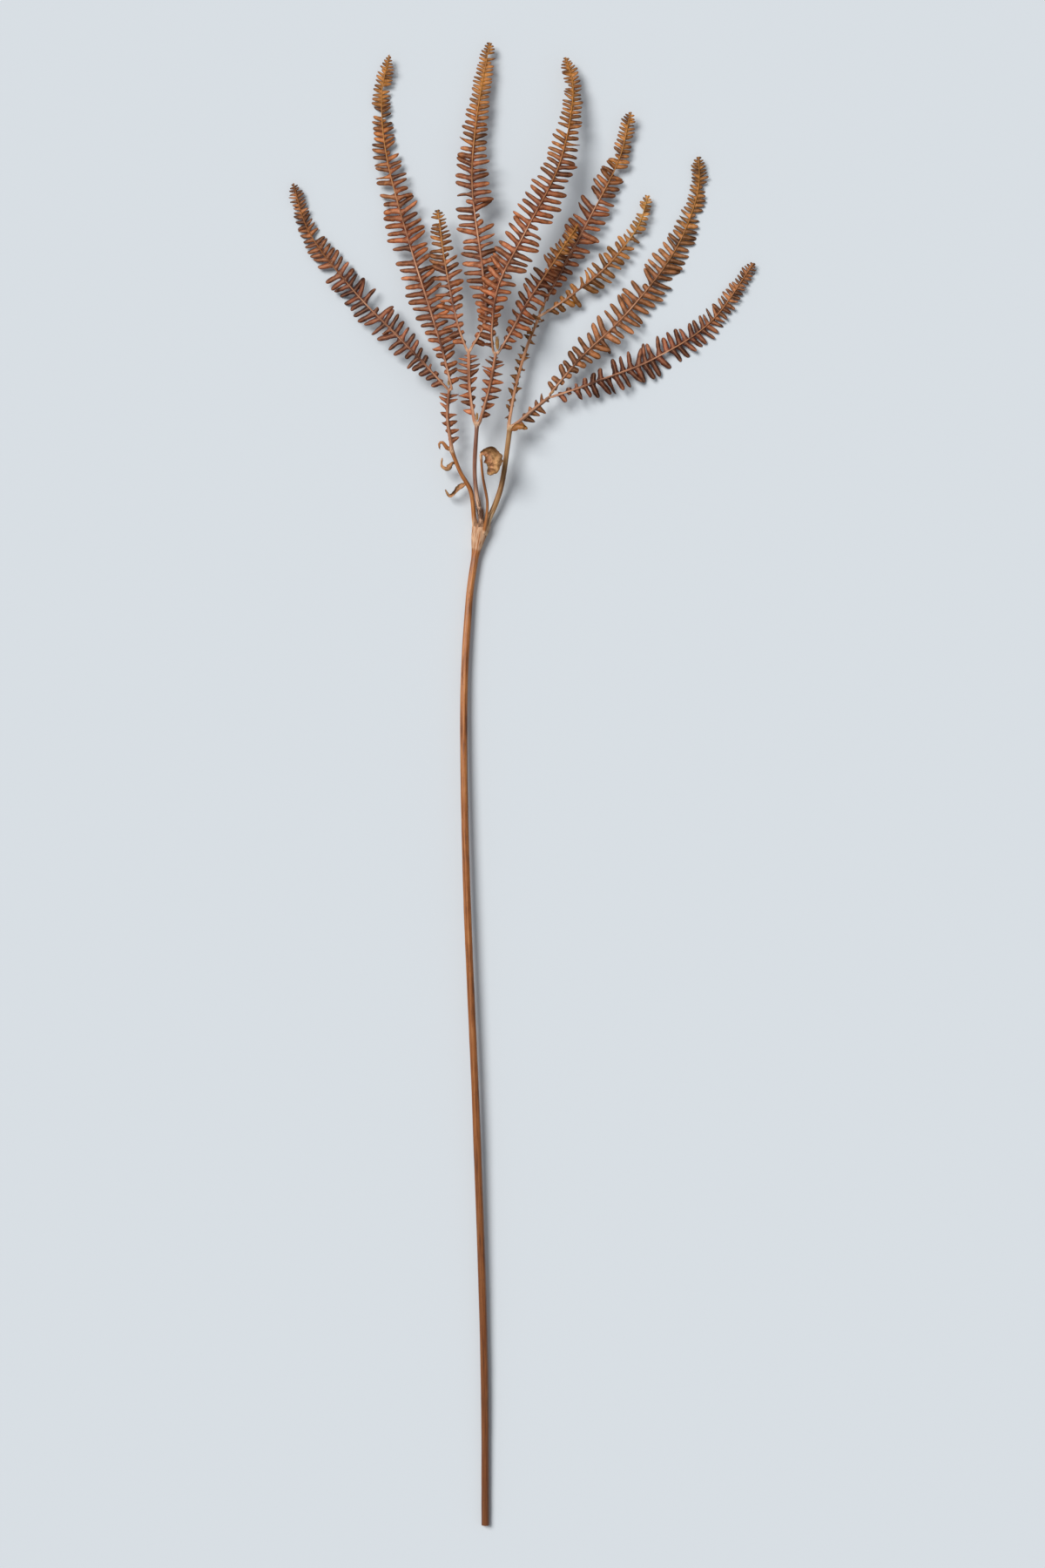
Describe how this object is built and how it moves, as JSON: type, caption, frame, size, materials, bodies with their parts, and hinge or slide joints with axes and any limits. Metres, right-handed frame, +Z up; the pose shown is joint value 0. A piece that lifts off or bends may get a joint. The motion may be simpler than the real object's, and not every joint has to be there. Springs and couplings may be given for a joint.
{
  "type": "dried fern frond",
  "caption": "Dried forking fern frond lying flat: a long bare stipe, a knuckle, bare arms that fork again, and comb-like pinnae spread as a fan.",
  "frame": {"origin": "middle of the underside of the frond's box, on the surface that the frond lies on", "axes": "+Y from the cut end of the stipe to the tips of the pinnae, +X to the right seen from above, +Z up from the surface"},
  "size_m": [0.24, 0.7564, 0.0278],
  "materials": {
    "stipe_caramel": "dry woody stalk, smooth and half glossy, finely ribbed along its length",
    "arm_tan": "dry woody stalk, tan to yellow, matt with fine ribs",
    "pinna_copper": "dry papery leaf, copper to terracotta, golden at the tips, matt",
    "leaf_golden": "dry crumpled papery leaf, ochre to tan, matt",
    "bud_scaly": "dry bud under short fibrous scales, brown to ochre, matt"
  },
  "bodies": {
    "root": {"stipe": "stipe_caramel", "left_arm": "arm_tan", "middle_arm": "arm_tan", "right_arm": "arm_tan", "bud_stalk": "arm_tan", "left_stub": "arm_tan", "left_branch": "pinna_copper", "middle_left_branch": "pinna_copper", "middle_right_branch": "pinna_copper", "right_edge_branch": "pinna_copper", "right_branch": "pinna_copper", "pinna_left_outer": "pinna_copper", "pinna_left_inner": "pinna_copper", "pinna_middle_1": "pinna_copper", "pinna_middle_2": "pinna_copper", "pinna_middle_3": "pinna_copper", "pinna_middle_4": "pinna_copper", "pinna_right_1": "pinna_copper", "pinna_right_2": "pinna_copper", "pinna_right_3": "pinna_copper", "pinna_right_4": "pinna_copper", "stalk_leaf": "leaf_golden", "lower_scale_leaf": "leaf_golden", "upper_scale_leaf": "leaf_golden", "right_scale_leaf": "leaf_golden", "knuckle_bud": "bud_scaly", "left_fork_bud": "bud_scaly", "middle_fork_bud": "bud_scaly", "yellow_fork_bud": "bud_scaly", "right_fork_bud": "bud_scaly", "right_edge_bud": "bud_scaly"}
  },
  "joints": []
}
